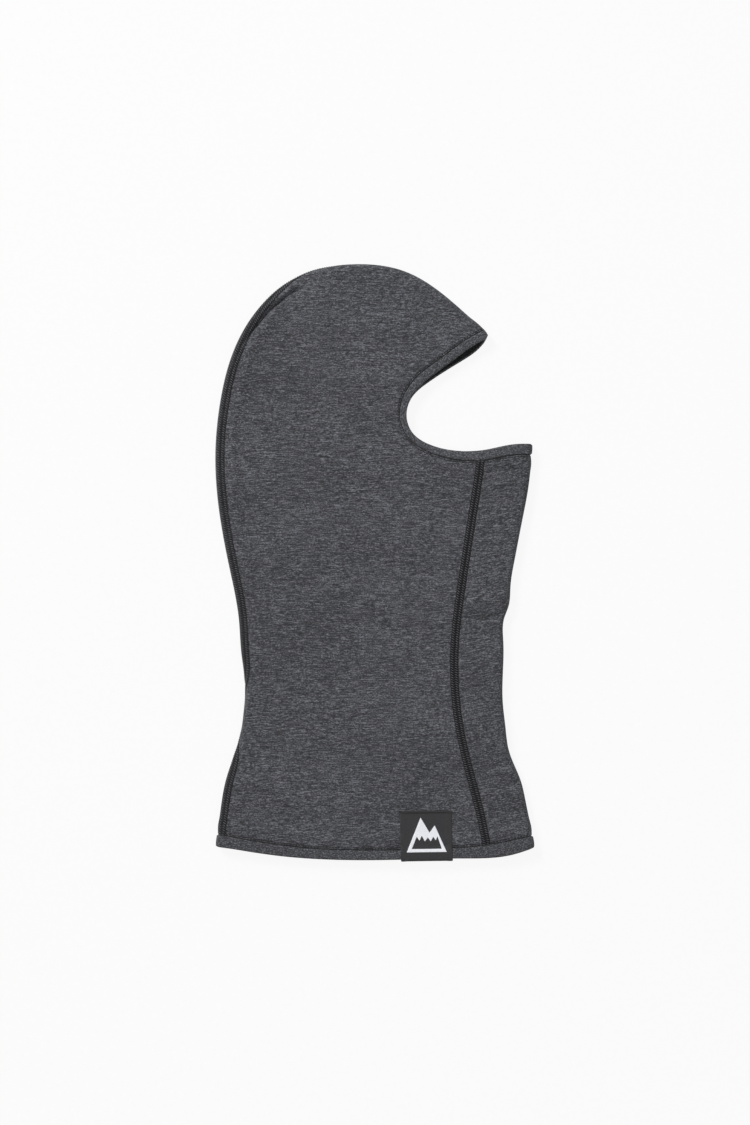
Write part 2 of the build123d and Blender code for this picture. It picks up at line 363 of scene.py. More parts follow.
def relief(points, side, distance):
    """How far the cloth stands out of its plain form."""
    x, y = points[:, 0], points[:, 1]
    out = np.zeros(len(points))
    for stops, height, width in CREASES if side > 0 else LEFT_CREASES:
        out += line_bump(points, stops, height, width)
    if side > 0:
        # A ridge runs beside the centre seam on the back of the head, with small puckers.
        head = smooth_step(y, -60, 30) * (1 - smooth_step(y, 168, 200)) * (x < 0)
        out += 1.4 * head * np.exp(-((distance - 13.2) / 3.8) ** 2)
        pucker = np.sin(2 * np.pi * y / 11.5 + 1.6 * np.sin(y / 23))
        out += 0.45 * head * pucker * np.exp(-((distance - 11) / 4.5) ** 2)
    # The middle of each half sags towards the other one, most of all in the head.
    sag = smooth_step(distance, 8, 70) * (0.7 + 0.3 * smooth_step(y, -150, 120))
    out -= (1.3 if side > 0 else 0.15) * sag
    waves = soft_noise(points, 62, 3 + side) * smooth_step(distance, 5, 20)
    ripples = soft_noise(points, 17, 9 + side) * smooth_step(distance, 5, 14)
    out += (0.3 if side > 0 else 0.15) * waves + 0.07 * ripples
    out *= smooth_step(distance, 0, 5)
    # The bands' seams and their stitches draw the cloth in, and it swells a little beside them.
    smooth = np.where(y > 130, smooth_step(distance, 0, 4), 1)
    for gap in (-nearest_on(face_seams[side], points)[0], nearest_on(hem_seam, points)[0]):
        out += 0.42 * np.exp(-((gap - 7) / 4.5) ** 2) * smooth_step(gap, 0.4, 5)
        out -= 0.8 * smooth * np.exp(-((gap / 0.5) ** 2))
        out -= 0.4 * smooth * np.exp(-(((gap - 1.45) / 0.42) ** 2))
    # The flatlock seams draw the cloth in along both of their edges.
    gap = distance_to(front_seam, points) - SEAM_WIDTH / 2
    out -= 0.22 * np.exp(-((gap / 0.9) ** 2))
    return out


def lifted(points, side, skin):
    """Points seen from above, put on the hood's surface with a skin of some thickness."""
    points = np.asarray(points, float)
    points = points - TIP_OUTWARD * blunted(points)[:, None]
    distance, inward = fold_distance(points)
    at_fold = np.where(distance < 0.01, 0, distance)
    points = points + inward * (at_fold - distance)[:, None]
    roll = np.clip(1 - at_fold / HALF_LOFT, 0, 1)
    rise = np.sqrt(1 - roll**2)
    stands = relief(points, side, at_fold)
    skin = np.broadcast_to(np.asarray(skin, float), (len(points),)) + stands
    out = np.empty((len(points), 3))
    out[:, :2] = points - inward * (roll * skin)[:, None]
    out[:, 2] = MIDDLE + side * rise * (HALF_LOFT + skin)
    return out


# ---------------- tracks that seams follow

def lengths_along(line):
    return np.concatenate([[0], np.cumsum(np.linalg.norm(np.diff(line, axis=0), axis=1))])


def looked_up(line, values, places):
    """The values given at a line's points, read at some distances along the line."""
    at = lengths_along(line)
    return np.stack([np.interp(places, at, values[:, i]) for i in range(values.shape[1])], 1)


def along_line(line, side):
    """A way to lay points, given as distances along and left of a line, on one half."""
    normals = left_of(line)

    def place(flat, skin):
        along, across = flat[:, 0], flat[:, 1:]
        plan = looked_up(line, line, along) + looked_up(line, normals, along) * across
        return lifted(plan, side, skin)

    return place


def fold_plan(along, over):
    """Where a point at a distance along the back fold and over it is, seen from above."""
    over = np.abs(over)
    angle = np.minimum(over / HALF_LOFT, np.pi / 2)
    inset = HALF_LOFT * (1 - np.cos(angle)) + np.maximum(over - HALF_LOFT * np.pi / 2, 0)
    inward = looked_up(back_fold, -left_of(back_fold), along)
    return looked_up(back_fold, back_fold, along) + inward * inset[:, None]


def over_fold(flat, skin):
    """Lays points, given as distances along the back fold and over it, on both halves."""
    plan = fold_plan(flat[:, 0], flat[:, 1])
    skin = np.broadcast_to(np.asarray(skin, float), (len(flat),))
    on_right = flat[:, 1] > 0
    out = np.empty((len(flat), 3))
    for side, part in ((1, on_right), (-1, ~on_right)):
        if part.any():
            out[part] = lifted(plan[part], side, skin[part])
    return out


def place_on(line, point):
    return nearest_on(line, np.array([point], float))[1][0]


crossing_places = [(place_on(back_fold, point), length) for point, length in CROSSINGS]


def seam_over(along):
    """How far over the back fold the centre seam lies, above zero on the right half."""
    height = looked_up(back_fold, back_fold, np.ravel(along))[:, 1].reshape(np.shape(along))
    over = np.interp(height, OVER_HEIGHTS, SEAM_OVER)
    for place, length in crossing_places:
        over = over * np.tanh((place - along) / length)
    return over


centre_start = place_on(back_fold, hem_seam[0])
centre_end = place_on(back_fold, face_seams[1][0])


# ---------------- meshes

SHARP_ANGLE = math.radians(55)


def mesh_object(name, points, faces, material, uv=None):
    """A smooth mesh object from points in millimetres, sharp only at steep edges."""
    mesh = bpy.data.meshes.new(name)
    mesh.from_pydata((np.asarray(points) * MM).tolist(), [], [tuple(map(int, f)) for f in faces])
    if uv is not None:
        layer = mesh.uv_layers.new(name="UVMap")
        corner = np.empty(len(mesh.loops), int)
        mesh.loops.foreach_get("vertex_index", corner)
        layer.data.foreach_set("uv", (np.asarray(uv, float)[corner] * MM).ravel())
    mesh.update()
    mesh.shade_smooth()
    mesh.set_sharp_from_angle(angle=SHARP_ANGLE)
    mesh.materials.append(material)
    piece = bpy.data.objects.new(name, mesh)
    bpy.context.collection.objects.link(piece)
    return piece


def finished(piece, slot, *nodes):
    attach(piece, "root")
    if nodes:
        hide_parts(*nodes)
    return piece


def thickened(points, faces, inner_points):
    """Closes a sheet with a second layer and a rim along its open edges."""
    count = len(points)
    faces = np.asarray(faces)
    a, b, c = (points[faces[:, i]] for i in range(3))
    outward = (np.cross(b - a, c - a) * (points - inner_points)[faces[:, 0]]).sum()
    if outward < 0:
        faces = faces[:, ::-1]
    edges = np.concatenate([faces[:, [0, 1]], faces[:, [1, 2]], faces[:, [2, 0]]])
    both_ways = np.sort(edges, axis=1)
    _, first, uses = np.unique(both_ways, axis=0, return_index=True, return_counts=True)
    rim = edges[first[uses == 1]]
    quads = np.stack([rim[:, 1], rim[:, 0], rim[:, 0] + count, rim[:, 1] + count], 1)
    closed = [*faces.tolist(), *(faces[:, ::-1] + count).tolist(), *quads.tolist()]
    return np.vstack([points, inner_points]), closed


def triangulated(outline, lines, loose, holes=()):
    """Triangles that fill an outline, with edges along the lines and the loose points used."""
    points, edges = [], []
    for loop in (outline, *holes):
        start = len(points)
        points.extend(loop)
        edges.extend((start + i, start + (i + 1) % len(loop)) for i in range(len(loop)))
    for line in lines:
        start = len(points)
        points.extend(line)
        edges.extend((start + i, start + i + 1) for i in range(len(line) - 1))
    points.extend(loose)
    made = delaunay_2d_cdt([tuple(map(float, p)) for p in points], edges, [], 0, 1e-4)
    points = np.array([tuple(p) for p in made[0]])
    faces = np.array(made[2])
    middle = points[faces].mean(1)
    keep = inside(outline, middle)
    for hole in holes:
        keep &= ~inside(hole, middle)
    faces = faces[keep]
    a, b, c = (points[faces[:, i]] for i in range(3))
    area = (b - a)[:, 0] * (c - a)[:, 1] - (b - a)[:, 1] * (c - a)[:, 0]
    faces[area < 0] = faces[area < 0][:, ::-1]
    return points, faces[np.abs(area) > 1e-7]


# Rows of the mesh: round the roll of a fold in degrees, and past it in millimetres; on the
# cloth beside a band's seam, a flatlock seam and a crease; and on a band from both its edges
ROLL_ANGLES = (12, 23, 34, 45, 56, 67, 78, 90)
PAST_ROLL = (5.5, 6.7)
SEAM_ROWS = (0.4, 0.8, 1.2, 1.55, 1.9, 2.4, 3.2)
FLATLOCK_ROWS = (-4.2, -3.6, -3.0, 3.0, 3.6, 4.2)
CREASE_ROWS = (-2.4, -1.6, -0.8, 0, 0.8, 1.6, 2.4)
BAND_EDGE_ROWS = (0.12, 0.36, 0.7, 1.2, 1.9, 2.8)
BAND_SEAM_ROWS = (0.3, 0.6, 0.95, 1.4)


def fold_rows():
    """Lines beside both folds, even round the roll of the cloth."""
    insets = [HALF_LOFT * (1 - math.cos(math.radians(angle))) for angle in ROLL_ANGLES]
    rows = []
    for inset in [*insets, *PAST_ROLL]:
        rows.append(moved(resampled(back_fold, 1.4), -inset))
        rows.append(moved(resampled(chin_fold, 1.4), -inset))
    return rows


def fold_stretch(fold, start, end):
    """Shared points along a fold, from the point start up to the point end."""
    first, last = place_on(fold, start), place_on(fold, end)
    at = lengths_along(fold)
    low, high = sorted((first, last))
    chosen = (at > low + 0.4) & (at < high - 0.4) & (np.arange(len(at)) % 3 == 0)
    points = fold[chosen] if first < last else fold[chosen][::-1]
    return np.vstack([start, points])


def half_outline(bottom, top):
    """The outline of one half between a lower and an upper line, each from back to chin."""
    bottom, top = resampled(bottom, 1.4), resampled(top, 1.3)
    chin = fold_stretch(chin_fold, bottom[-1], top[-1])
    back = fold_stretch(back_fold, top[0], bottom[0])
    return np.vstack([bottom[:-1], chin, top[::-1][:-1], back])


def clipped(line, outline, gap):
    """The stretches of a line that are inside an outline, and not within a gap of it."""
    closed = np.vstack([outline, outline[:1]])
    keep = inside(outline, line) & (distance_to(closed, line) > gap)
    breaks = np.flatnonzero(np.diff(np.concatenate([[0], keep.astype(int), [0]])))
    runs = zip(breaks[::2], breaks[1::2])
    return [line[i:j] for i, j in runs if j - i > 1]


def filled(outline, rows, fold_lines, grid):
    """Triangles for an outline, with edges along rows and fold lines and a grid elsewhere."""
    lines = [part for row in rows for part in clipped(row, outline, 0.3)]
    lines += [part for row in fold_lines for part in clipped(row, outline, 0.06)]
    ys = np.arange(-226, 226, grid * 0.866)
    x, y = np.meshgrid(np.arange(-122, 122, grid), ys)
    x = x + (np.arange(len(ys)) % 2)[:, None] * grid / 2
    loose = np.stack([x.ravel(), y.ravel()], 1)
    loose = loose[inside(outline, loose)]
    loose = loose[distance_to(np.vstack([outline, outline[:1]]), loose) > 0.6 * grid]
    for line in lines:
        near = np.all((loose > line.min(0) - 2) & (loose < line.max(0) + 2), axis=1)
        near[near] = distance_to(line, loose[near]) < 0.45 * grid
        loose = loose[~near]
    return triangulated(outline, lines, loose)


def centre_cuts(side):
    """The centre seam's line on one half, seen from above, as one or more lines."""
    along = np.arange(centre_start - 6, centre_end + 6, 1.3)
    over = seam_over(along) * side
    cuts = []
    run = []
    for k in range(len(along)):
        if over[k] > 0:
            run.append(k)
        if run and (over[k] <= 0 or k == len(along) - 1):
            cuts.append(fold_plan(along[run], over[run]))
            run = []
    return [cut for cut in cuts if len(cut) > 1]


def cloth_half(side):
    """One half of the cloth between the bands, as points and triangles seen from above."""
    seam = face_seams[side]
    rows = [*centre_cuts(side), resampled(front_seam, 1.4)]
    for gap in SEAM_ROWS:
        rows.append(moved(resampled(seam, 1.3), -gap))
        rows.append(moved(resampled(hem_seam, 1.4), gap))
    for gap in FLATLOCK_ROWS:
        rows.append(moved(resampled(front_seam, 1.4), gap))
    for stops in FINE_CREASES:
        crease = curve(stops, 1.3)
        rows += [moved(crease, gap) for gap in CREASE_ROWS]
    points, faces = filled(half_outline(hem_seam, seam), rows, fold_rows(), 1.9)
    return points, faces if side > 0 else faces[:, ::-1]


def band_half(side, edge, seam, inward):
    """One half of a band; inward is 1 where its cloth is to the left of its free edge."""
    rows = []
    for gap in BAND_EDGE_ROWS:
        rows.append(moved(resampled(edge, 1.0), gap * inward))
    for gap in BAND_SEAM_ROWS:
        rows.append(moved(resampled(seam, 1.0), -gap * inward))
    outline = half_outline(edge, seam) if inward > 0 else half_outline(seam, edge)
    points, faces = filled(outline, rows, fold_rows(), 1.3)
    return points, faces if side > 0 else faces[:, ::-1]


# Points of the two halves that are within this of each other are one.
SAME_POINT = 0.004


def two_halves(halves, skins):
    """Joins the halves' points along the folds: plan, outer, inner points, faces and sides."""
    plans, outer, inner, faces, sides = [], [], [], [], []
    start = 0
    for side, (points, triangles) in zip((1, -1), halves):
        outside, within = skins(side, points)
        plans.append(points)
        outer.append(lifted(points, side, outside))
        inner.append(lifted(points, side, within))
        faces.append(triangles + start)
        sides.append(np.full(len(triangles), side))
        start += len(points)
    plan, outer, inner = np.vstack(plans), np.vstack(outer), np.vstack(inner)
    faces = np.vstack(faces)
    key = np.round(np.hstack([outer, inner]) / SAME_POINT).astype(np.int64)
    _, first, merged = np.unique(key, axis=0, return_index=True, return_inverse=True)
    faces = first[merged.ravel()][faces]
    a, b, c = faces.T
    whole = (a != b) & (b != c) & (a != c)
    return plan, outer, inner, faces[whole], np.concatenate(sides)[whole]


def sheet_piece(name, plan, outer, inner, faces, material, reverse, uv=None, behind=0.0):
    """A closed sheet with one material outside and another on its reverse, behind an edge."""
    used, index = np.unique(faces, return_inverse=True)
    points, closed = thickened(outer[used], index.reshape(faces.shape), inner[used])
    flat = (plan if uv is None else uv)[used]
    piece = mesh_object(name, points, closed, material, uv=np.vstack([flat, flat]))
    piece.data.materials.append(reverse)
    count = len(used)
    deep = np.concatenate([np.zeros(count, bool), np.abs(flat[:, 1]) >= behind])
    piece.data.polygons.foreach_set("material_index", [int(deep[face].all()) for face in closed])
    return piece


def threads(place, starts, ends, radius, skin, arch=0.0, rings=5, sides=6):
    """Round stitches from starts to ends, thinner at both ends, as points and faces."""
    starts, ends = np.asarray(starts, float), np.asarray(ends, float)
    part = np.linspace(0, 1, rings)
    flat = starts[:, None] * (1 - part)[None, :, None] + ends[:, None] * part[None, :, None]
    lift = np.broadcast_to(skin + arch * np.sin(np.pi * part), flat.shape[:2])
    centre = place(flat.reshape(-1, 2), lift.ravel()).reshape(*flat.shape[:2], 3)
    above = place(flat.reshape(-1, 2), lift.ravel() + 0.4).reshape(centre.shape)
    along = unit(np.gradient(centre, axis=1))
    across = unit(np.cross(along, above - centre))
    up = np.cross(across, along)
    thick = radius * (0.45 + 0.55 * np.sqrt(np.clip(1 - (2 * part - 1) ** 4, 0, 1)))
    angle = np.arange(sides) * 2 * np.pi / sides
    ring = across[:, :, None] * np.cos(angle)[:, None] + up[:, :, None] * np.sin(angle)[:, None]
    points = (centre[:, :, None] + ring * thick[None, :, None, None]).reshape(-1, 3)
    r, j = np.meshgrid(np.arange(rings - 1), np.arange(sides), indexing="ij")
    r, j, k = r.ravel(), j.ravel(), (j.ravel() + 1) % sides
    quads = np.stack([r * sides + j, (r + 1) * sides + j, (r + 1) * sides + k, r * sides + k], 1)
    first_cap = np.arange(sides)
    last_cap = (rings - 1) * sides + np.arange(sides)[::-1]
    faces = []
    for start in range(0, len(starts) * rings * sides, rings * sides):
        faces.extend((quads + start).tolist())
        faces.append((first_cap + start).tolist())
        faces.append((last_cap + start).tolist())
    return points, faces


def joined(parts):
    """Several sets of points and faces as one."""
    points, faces, start = [], [], 0
    for some_points, some_faces in parts:
        points.append(some_points)
        faces.extend([[i + start for i in face] for face in some_faces])
        start += len(some_points)
    return np.vstack(points), faces


def grid_faces(rows, columns):
    """Triangles between the points of a grid, given row by row."""
    i, j = np.meshgrid(np.arange(rows - 1), np.arange(columns - 1), indexing="ij")
    a = (i * columns + j).ravel()
    b = a + columns
    return np.vstack([np.stack([a, b, b + 1], 1), np.stack([a, b + 1, a + 1], 1)])


def strip(place, path, across, skins, under):
    """A strip along a path: flat, outside and inside points, and faces."""
    flat = np.stack([moved(path, gap) for gap in across], 1).reshape(-1, 2)
    outer = place(flat, np.tile(skins, len(path)))
    inner = place(flat, np.full(len(flat), under))
    return flat, outer, inner, grid_faces(len(path), len(across))


# ---------------- materials

def put(tree, kind, inputs=(), **settings):
    """A new shader node; each of its inputs is given a value or linked to a socket."""
    node = tree.nodes.new("ShaderNode" + kind)
    for name, value in settings.items():
        setattr(node, name, value)
    for name, value in dict(inputs).items():
        if isinstance(value, bpy.types.NodeSocket):
            tree.links.new(value, node.inputs[name])
        else:
            node.inputs[name].default_value = value
    return node


def shaded(name, roughness, sheen=0.0, specular=0.3):
    material = bpy.data.materials.new(name)
    material.use_nodes = True
    shader = material.node_tree.nodes["Principled BSDF"]
    shader.inputs["Roughness"].default_value = roughness
    shader.inputs["Sheen Weight"].default_value = sheen
    shader.inputs["Sheen Roughness"].default_value = 0.6
    shader.inputs["Specular IOR Level"].default_value = specular
    return material, material.node_tree, shader


def grain(tree, vector, size, detail=2.0):
    """Noise whose grains have a size along each axis, in metres."""
    scaled = put(tree, "Mapping", {"Vector": vector, "Scale": [1 / s for s in size]})
    noise = put(tree, "TexNoise", {"Vector": scaled.outputs[0], "Scale": 1.0, "Detail": detail})
    return noise.outputs["Fac"]


def summed(tree, *parts):
    """A sum of (socket, weight) parts."""
    total = None
    for socket, weight in parts:
        inputs = {0: socket, 1: weight, 2: total if total is not None else 0.0}
        total = put(tree, "Math", inputs, operation="MULTIPLY_ADD").outputs[0]
    return total


def coloured(tree, value, low, high, dark, light):
    """A colour that runs from dark to light as the value runs from low to high."""
    spread = put(tree, "MapRange", {"Value": value, "From Min": low, "From Max": high})
    mix = put(tree, "Mix", {"Factor": spread.outputs[0]}, data_type="RGBA")
    ends = {"A": (*dark, 1), "B": (*light, 1)}
    for socket in mix.inputs:
        if socket.type == "RGBA":
            socket.default_value = ends[socket.name]
    return next(socket for socket in mix.outputs if socket.type == "RGBA")


def bumped(tree, shader, height, distance, strength):
    bump = put(tree, "Bump", {"Height": height, "Distance": distance, "Strength": strength})
    tree.links.new(bump.outputs[0], shader.inputs["Normal"])


def knit(name, dark, light, turn=0.0, coordinates="Object", streak=(0.011, 0.00085)):
    """Heathered jersey: long pale and dark streaks along the courses, flecks, and soft loops."""
    material, tree, shader = shaded(name, 0.92, sheen=0.08, specular=0.15)
    start = put(tree, "TexCoord").outputs[coordinates]
    turned = put(tree, "Mapping", {"Vector": start, "Rotation": (0, 0, turn)}).outputs[0]
    long_streaks = grain(tree, turned, (streak[0], streak[1], streak[1]), 1.0)
    short_streaks = grain(tree, turned, (streak[0] * 0.34, streak[1] * 0.8, streak[1] * 0.8), 1.0)
    flecks = grain(tree, turned, (0.00115, 0.0007, 0.0007), 1.0)
    patches = grain(tree, turned, (0.09, 0.03, 0.05), 2.0)
    parts = ((long_streaks, 0.36), (short_streaks, 0.56), (flecks, 0.7), (patches, 0.12))
    value = summed(tree, *parts)
    spread = put(tree, "MapRange", {"Value": value, "From Min": 0.674, "From Max": 1.094})
    paler = put(tree, "Math", {0: spread.outputs[0], 1: 2.0}, operation="POWER")
    colour = coloured(tree, paler.outputs[0], 0.0, 1.0, dark, light)
    tree.links.new(colour, shader.inputs["Base Color"])
    loops = put(tree, "Mapping", {"Vector": turned, "Scale": (1000, 1350, 1350)})
    cells = put(tree, "TexVoronoi", {"Vector": loops.outputs[0], "Scale": 1.0, "Randomness": 0.55})
    height = summed(tree, (cells.outputs["Distance"], -0.3), (flecks, 0.6), (short_streaks, 0.6))
    bumped(tree, shader, height, 0.0002, 0.6)
    return material


def thread_material(name, dark, light, size=0.0005):
    """Twisted polyester thread, with a slight shine and uneven dye."""
    material, tree, shader = shaded(name, 0.55, sheen=0.05, specular=0.35)
    start = put(tree, "TexCoord").outputs["Object"]
    plies = grain(tree, start, (size, size, size), 1.0)
    lots = grain(tree, start, (0.0025, 0.0025, 0.0025), 1.0)
    value = summed(tree, (plies, 0.6), (lots, 0.4))
    tree.links.new(coloured(tree, value, 0.3, 0.7, dark, light), shader.inputs["Base Color"])
    bumped(tree, shader, plies, 0.0002, 0.5)
    return material


# The scale at which a wave texture repeats once in a unit of length
WAVE = 0.314


def woven(name, dark, light, pitch):
    """Close satin weave of fine threads across and fainter ones along."""
    material, tree, shader = shaded(name, 0.5, sheen=0.05, specular=0.4)
    start = put(tree, "TexCoord").outputs["UV"]
    weft = {"Vector": start, "Scale": WAVE / pitch, "Distortion": 1.2, "Detail Scale": 2.0}
    wefts = put(tree, "TexWave", weft, bands_direction="Y")
    warp = {"Vector": start, "Scale": WAVE / pitch / 1.7}
    warps = put(tree, "TexWave", warp, bands_direction="X")
    floats = grain(tree, start, (0.003, 0.0004, 0.0004), 1.0)
    value = summed(tree, (wefts.outputs["Fac"], 0.3), (warps.outputs["Fac"], 0.15), (floats, 0.8))
    tree.links.new(coloured(tree, value, 0.35, 0.9, dark, light), shader.inputs["Base Color"])
    bumped(tree, shader, value, 0.00012, 0.6)
    return material


side_cloth = knit("side_cloth", (0.027, 0.0275, 0.0305), (0.180, 0.184, 0.206))
chin_cloth = knit("chin_cloth", (0.026, 0.0265, 0.0295), (0.176, 0.180, 0.200), turn=-0.17)
cloth_reverse = knit("cloth_reverse", (0.020, 0.0204, 0.0225), (0.125, 0.128, 0.141))
along_band = {"coordinates": "UV", "streak": (0.0042, 0.0011)}
band_cloth = knit("band_cloth", (0.029, 0.0295, 0.0325), (0.172, 0.176, 0.195), **along_band)
# Dark reverse of the bands: partly the jersey's own duller reverse, partly painted shade on the far
# binding's inside, seen in the gap under the near layer.
band_reverse_and_painted_shade = knit("band_reverse_and_painted_shade", (0.007, 0.0075, 0.0075), (0.045, 0.048, 0.047), **along_band)
in_seam = {"streak": (0.0015, 0.0006)}
seam_bed = knit("seam_bed", (0.004, 0.004, 0.005), (0.022, 0.0223, 0.0245), **in_seam)
centre_bed = knit("centre_bed", (0.008, 0.008, 0.009), (0.040, 0.0405, 0.0445), **in_seam)
seam_thread = thread_material("seam_thread", (0.034, 0.035, 0.040), (0.120, 0.123, 0.138))
# Near-black thread: partly the dark needle thread itself, partly painted shade, so that the rows in
# the bands' seam grooves show as the grooves' shadow lines.
needle_thread = thread_material("needle_thread", (0.003, 0.003, 0.0035), (0.011, 0.0112, 0.0125))
label_weave = woven("label_weave", (0.012, 0.012, 0.0135), (0.029, 0.029, 0.032), 0.0006)
label_mark = woven("label_mark", (0.70, 0.71, 0.75), (0.88, 0.89, 0.93), 0.0006)
label_thread = thread_material("label_thread", (0.004, 0.004, 0.004), (0.012, 0.012, 0.013))


# ---------------- the three panels

def cloth_skins(side, points):
    """A panel's outside is on the form, and its inside is a cloth's thickness under it."""
    return 0.0, -CLOTH


def right_of_centre(plan, sides):
    """Which places on the two halves are on the right panel's side of the centre seam."""
    fold_gap, fold_place = nearest_on(back_fold, plan)
    rolled = np.clip(-fold_gap, 0, HALF_LOFT) / HALF_LOFT
    over = HALF_LOFT * np.arccos(1 - rolled) + np.clip(-fold_gap - HALF_LOFT, 0, None)
    return over * sides > seam_over(fold_place)


def add_panels():
    """The two side panels and the chin panel, one cloth that is parted along the seams."""
    halves = [cloth_half(side) for side in (1, -1)]
    plan, outer, inner, faces, sides = two_halves(halves, cloth_skins)
    middle = plan[faces].mean(1)
    beyond = [(200, -222), (200, 92)]
    in_front = inside(np.vstack([front_seam, beyond]), middle)
    on_right = right_of_centre(middle, sides)
    pieces = []
    for name, slot, node, chosen, material in (
        ("right_side_cloth", "side_cloth", "right_side_panel", ~in_front & on_right, side_cloth),
        ("left_side_cloth", "side_cloth", "left_side_panel", ~in_front & ~on_right, side_cloth),
        ("chin_cloth", "chin_cloth", "chin_panel", in_front, chin_cloth),
    ):
        piece = sheet_piece(name, plan, outer, inner, faces[chosen], material, cloth_reverse)
        pieces.append(finished(piece, slot, node))
    return pieces


right_piece, left_piece, chin_piece = add_panels()


# ---------------- the two bands

# Half the thickness of a folded band, and how far it stands out of the cloth
BAND_HALF = 1.2
BAND_SKIN = 0.6


def band(name, edges, seams, inward):
    """A folded band from a free, rounded edge to a seam, on both halves."""
    def skins(side, points):
        gap = np.clip(inward * nearest_on(edges[side], points)[0], 0, None)
        seam_gap = distance_to(seams[side], points)
        rounding = BAND_HALF * np.sqrt(1 - np.clip(1 - gap / BAND_HALF, 0, 1) ** 2)
        rounding = np.maximum(rounding, 0.03)
        middle = BAND_SKIN - BAND_HALF
        plump = 0.22 * np.sin(np.pi * np.clip(gap / 7.5, 0, 1))
        dip = 0.5 * np.exp(-((seam_gap / 0.5) ** 2))
        # At the tip of the forehead the band lies as low as the cloth beside it.
        distance = fold_distance(points)[0]
        tip = (1 - smooth_step(distance, 0, 4)) * (points[:, 1] > 130) * smooth_step(gap, 0.5, 3)
        proud = middle + rounding + plump - dip
        return proud * (1 - tip), middle - rounding

    band_halves = [band_half(side, edges[side], seams[side], inward) for side in (1, -1)]
    plan, outer, inner, faces, _ = two_halves(band_halves, skins)
    count = len(band_halves[0][0])
    gap, along = np.empty(len(plan)), np.empty(len(plan))
    for side, part in ((1, slice(0, count)), (-1, slice(count, None))):
        gap[part], along[part] = nearest_on(edges[side], plan[part])
    uv = np.stack([along, gap], 1)
    # Beyond 1.1 mm from the free edge the band's reverse is dark: partly its own tone, partly
    # painted shade from the near layer above it.
    return sheet_piece(
        name, plan, outer, inner, faces, band_cloth, band_reverse_and_painted_shade, uv=uv, behind=1.1)


hem_edges = {1: hem_edge, -1: hem_edge}
hem_seams = {1: hem_seam, -1: hem_seam}
binding = band("face_binding_cloth", face_edges, face_seams, -1)
hem = band("hem_band_cloth", hem_edges, hem_seams, 1)
finished(binding, "band_cloth", "face_binding")
finished(hem, "band_cloth", "hem_band")


# ---------------- the flatlock seams

# Across the seam: the shape of its bed, the middles of its two rows of slanted stitches, and
# its lines of needle thread
BED_ACROSS = np.array([-3.3, -2.9, -2.3, -1.6, -0.8, 0.0, 0.8, 1.6, 2.3, 2.9, 3.3])
BED_SKINS = np.array([-0.35, 0.08, 0.3, 0.36, 0.22, 0.1, 0.22, 0.36, 0.3, 0.08, -0.35])
SLANTED_ROWS = (-1.6, 1.6)
NEEDLE_ROWS = (-3.0, 0.0, 3.0)
STITCH_PITCH = 1.8
SLANT = 0.55
LOOP_PITCH = 2.4
LOOP_REACH = 2.2
# How far under the cloth's outside the threads on its inside lie
INSIDE = -CLOTH - 0.15


def sewn(name, parts, material, slot, *nodes):
    """One piece made of several sets of stitches."""
    return finished(mesh_object(name, *joined(parts), material), slot, *nodes)


def flatlock(name, place, path, slant, bed_material):
    """A flatlock seam: its bed, slanted stitches and needle lines, and the threads inside."""
    flat, outer, inner, faces = strip(place, path, BED_ACROSS, BED_SKINS, under=-0.6)
    points, closed = thickened(outer, faces, inner)
    bed = mesh_object(name + "_bed", points, closed, bed_material, uv=np.vstack([flat, flat]))
    finished(bed, "seam_thread")

    stitches = resampled(path, STITCH_PITCH)
    left = left_of(stitches)
    forward = np.stack([left[:, 1], -left[:, 0]], 1)
    parts = []
    for row in SLANTED_ROWS:
        start = stitches + left * (row - 1.0) - forward * slant
        end = stitches + left * (row + 1.0) + forward * slant
        parts.append(threads(place, start, end, radius=0.28, skin=0.34, arch=0.2))
    sewn(name + "_cover_stitches", parts, seam_thread, "seam_thread", name + "_cover")

    parts = []
    for row in NEEDLE_ROWS:
        start = stitches + left * row - forward * 0.65
        end = stitches + left * row + forward * 0.65
        parts.append(threads(place, start, end, radius=0.26, skin=0.14, arch=0.1, rings=4))
    sewn(name + "_needle_stitches", parts, needle_thread, "needle_thread")

    under = resampled(path, LOOP_PITCH)
    to_left, to_right = moved(under, LOOP_REACH), moved(under, -LOOP_REACH)
    parts = [
        threads(place, to_left[:-1], to_right[:-1], radius=0.3, skin=INSIDE),
        threads(place, to_right[:-1], to_left[1:], radius=0.3, skin=INSIDE),
    ]
    sewn(name + "_inner_stitches", parts, seam_thread, "seam_thread", name + "_looper")


def add_flatlocks():
    """The centre seam, and a front seam on each half between the two bands."""
    along = np.arange(centre_start + 0.3, centre_end - 0.3, 1.0)
    path = np.stack([along, seam_over(along)], 1)
    flatlock("centre_seam", over_fold, path, -SLANT, centre_bed)
    for side, name in ((1, "right_front_seam"), (-1, "left_front_seam")):
        top = crossing(front_seam, face_seams[side])[2]
        low = crossing(front_seam, hem_seam)[2]
        start, end = place_on(front_seam, top), place_on(front_seam, low)
        along = np.arange(start + 0.3, end - 0.3, 1.0)
        path = np.stack([along, along * 0], 1)
        flatlock(name, along_line(front_seam, side), path, SLANT, seam_bed)


add_flatlocks()


# ---------------- the bands' stitches

BAND_PITCH = 2.3


def steps_along(line):
    """Where the stitches beside a band's seam start, as distances along the line."""
    return np.arange(BAND_PITCH, lengths_along(line)[-1] - BAND_PITCH, BAND_PITCH)


def dashes(lines, gap, length, skin):
    """A row of straight stitches beside a line, on both halves."""
    parts = []
    for side, line in lines.items():
        along = steps_along(line)
        start = np.stack([along - length / 2, along * 0 + gap], 1)
        end = np.stack([along + length / 2, along * 0 + gap], 1)
        place = along_line(line, side)
        parts.append(threads(place, start, end, radius=0.34, skin=skin, arch=0.05, rings=4))
    return joined(parts)


